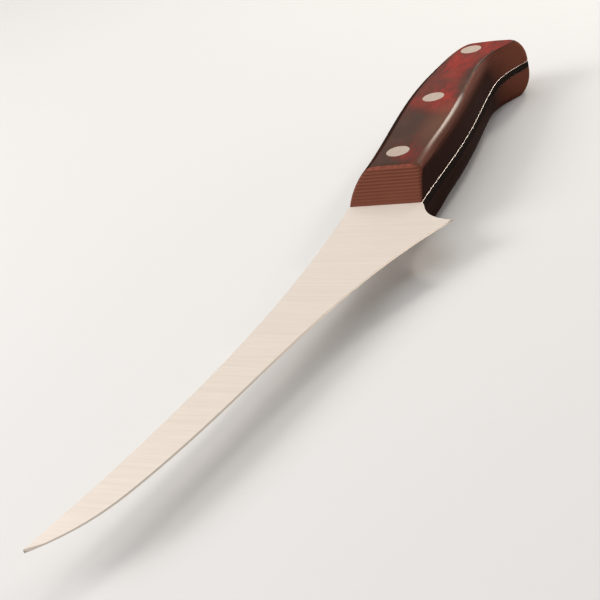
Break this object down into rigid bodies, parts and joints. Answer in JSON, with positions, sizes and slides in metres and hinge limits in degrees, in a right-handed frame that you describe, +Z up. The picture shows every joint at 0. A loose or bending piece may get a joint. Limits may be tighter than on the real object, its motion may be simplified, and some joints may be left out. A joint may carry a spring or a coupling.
{
  "type": "fillet knife",
  "caption": "Fillet knife with a narrow upswept blade, a full tang and riveted red-brown layered handle scales, for trimming and filleting.",
  "frame": {"origin": "on the flat outer land of the lower handle scale, midway between the front and the middle rivet, with the knife lying on that scale", "axes": "+X from the handle towards the blade's tip, +Y towards the cutting edge, +Z up out of the upper handle scale"},
  "size_m": [0.294, 0.0658, 0.0224],
  "materials": {
    "blade_steel": "fine satin grind across the blade",
    "handle_laminate": "smooth satin, dark red and grey-brown layers parallel to the blade",
    "rivet_steel": "ground flush with the handle, satin"
  },
  "bodies": {
    "root": {"blade": "blade_steel", "upper_scale": "handle_laminate", "lower_scale": "handle_laminate", "front_rivet_pin": "rivet_steel", "front_rivet_barrel": "rivet_steel", "middle_rivet_pin": "rivet_steel", "middle_rivet_barrel": "rivet_steel", "rear_rivet_pin": "rivet_steel", "rear_rivet_barrel": "rivet_steel"}
  },
  "joints": []
}
